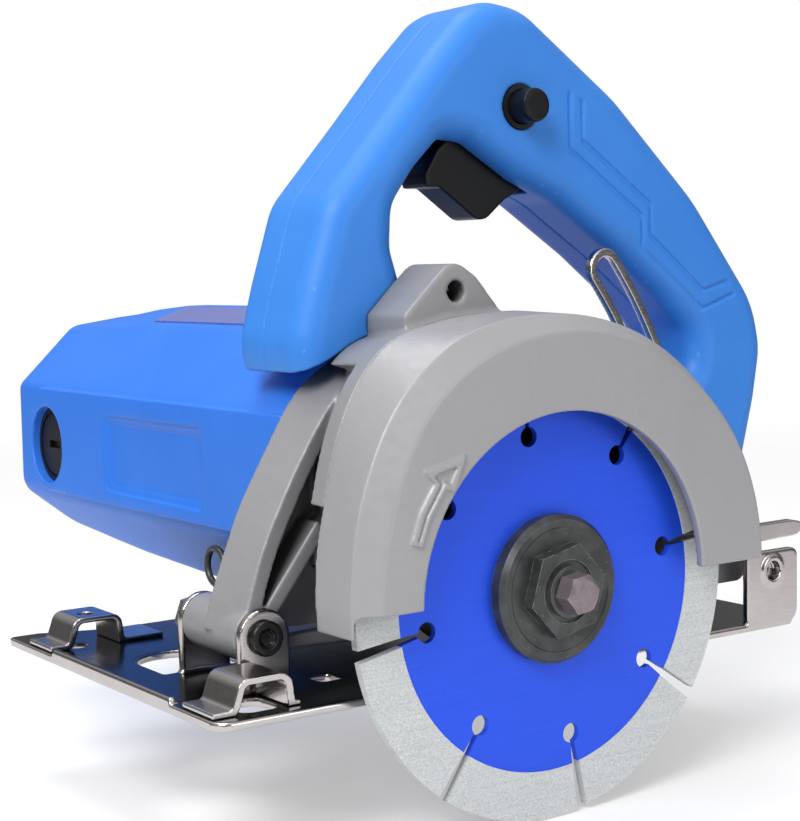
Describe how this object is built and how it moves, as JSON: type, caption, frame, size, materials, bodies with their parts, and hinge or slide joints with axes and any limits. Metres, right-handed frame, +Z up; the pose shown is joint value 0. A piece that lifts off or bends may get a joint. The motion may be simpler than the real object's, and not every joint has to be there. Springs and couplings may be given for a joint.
{
  "type": "tile saw",
  "caption": "Hand-held wet tile saw: slotted diamond blade behind a half guard, D-handle over a side motor, tilting sheet base with slotted arc for cutting depth.",
  "frame": {"origin": "centre of the underside of the base plate (the sole)", "axes": "+Z up, -X the cutting direction (front), +X the grip end, -Y the blade side, +Y the motor side"},
  "size_m": [0.2044, 0.2192, 0.1954],
  "materials": {
    "blue_plastic": "satin moulded",
    "grey_casting": "satin cast, painted",
    "grey_guard": "satin painted",
    "blade_blue": "satin lacquer over ground steel",
    "diamond_matrix": "sintered, speckled",
    "black_steel": "blackened, worn edges",
    "zinc_steel": "zinc plated",
    "bright_steel": "machined",
    "laminations": "stacked sheet",
    "copper": "enamelled wire",
    "carbon": "matt",
    "nickel_sheet": "polished nickel",
    "black_plastic": "satin",
    "black_rubber": "matt",
    "label_foil": "blank foil label"
  },
  "bodies": {
    "housing": {"armature_bearing_front": "bright_steel", "armature_bearing_rear": "bright_steel", "bearing_retainer": "bright_steel", "blade_guard": "grey_guard", "brush_caps": "black_plastic", "brush_holders": "copper", "brush_springs": "bright_steel", "carbon_brushes": "carbon", "clamp_bolt": "bright_steel", "clamp_washer": "bright_steel", "cord_guard": "black_rubber", "field_coils": "copper", "gear_housing": "grey_casting", "guard_screws": "bright_steel", "handle_far": "blue_plastic", "handle_near": "blue_plastic", "handle_screws": "bright_steel", "hose_clip": "black_steel", "housing_screws": "bright_steel", "lock_button_collar": "black_plastic", "motor_housing": "blue_plastic", "power_cord": "black_rubber", "retainer_screws": "bright_steel", "spindle_bearing_front": "bright_steel", "spindle_bearing_rear": "bright_steel", "stator_core": "laminations", "switch_body": "black_plastic", "top_label": "label_foil"},
    "base": {"base_plate": "nickel_sheet", "fence_hoop_far": "nickel_sheet", "fence_hoop_near": "nickel_sheet", "depth_strip": "nickel_sheet", "strip_rivets": "bright_steel", "pivot_pin": "black_steel", "pivot_nut": "bright_steel"},
    "spindle": {"spindle": "bright_steel", "spindle_gear": "bright_steel", "inner_flange": "black_steel", "outer_flange": "black_steel", "blade_core": "blade_blue", "diamond_segments": "diamond_matrix", "blade_bolt": "zinc_steel", "bolt_washer": "black_steel"},
    "armature": {"armature_shaft": "bright_steel", "armature_core": "laminations", "armature_windings_front": "copper", "armature_windings_rear": "copper", "commutator": "copper", "cooling_fan": "black_plastic"},
    "trigger": {"trigger": "black_plastic"},
    "lock_button": {"lock_button": "black_plastic"},
    "lever": {"depth_lever": "nickel_sheet"}
  },
  "joints": [
    {"name": "depth_pivot", "type": "hinge", "parent": "housing", "child": "base", "pos_m": [-0.0673, -0.0225, 0.0142], "axis": [0, 1, 0], "range_deg": [0, 30]},
    {"name": "spindle_spin", "type": "hinge", "parent": "housing", "child": "spindle", "pos_m": [-0.0043, -0.0613, 0.0216], "axis": [0, 1, 0], "continuous": true},
    {"name": "armature_spin", "type": "hinge", "parent": "housing", "child": "armature", "pos_m": [-0.0143, 0.04, 0.0456], "axis": [0, 1, 0], "continuous": true},
    {"name": "trigger_pull", "type": "slide", "parent": "housing", "child": "trigger", "axis": [0.64, 0, 0.7684], "range_m": [0, 0.005], "stiffness_N_per_m": 300},
    {"name": "lock_press", "type": "slide", "parent": "housing", "child": "lock_button", "axis": [0, 1, 0], "range_m": [0, 0.003], "stiffness_N_per_m": 300},
    {"name": "lever_swing", "type": "hinge", "parent": "housing", "child": "lever", "pos_m": [0.06437, -0.0503, 0.0236], "axis": [0, -1, 0], "range_deg": [0, 70]}
  ],
  "couplings": [
    {"joint": "armature_spin", "follows": "spindle_spin", "ratio": -1.6}
  ]
}
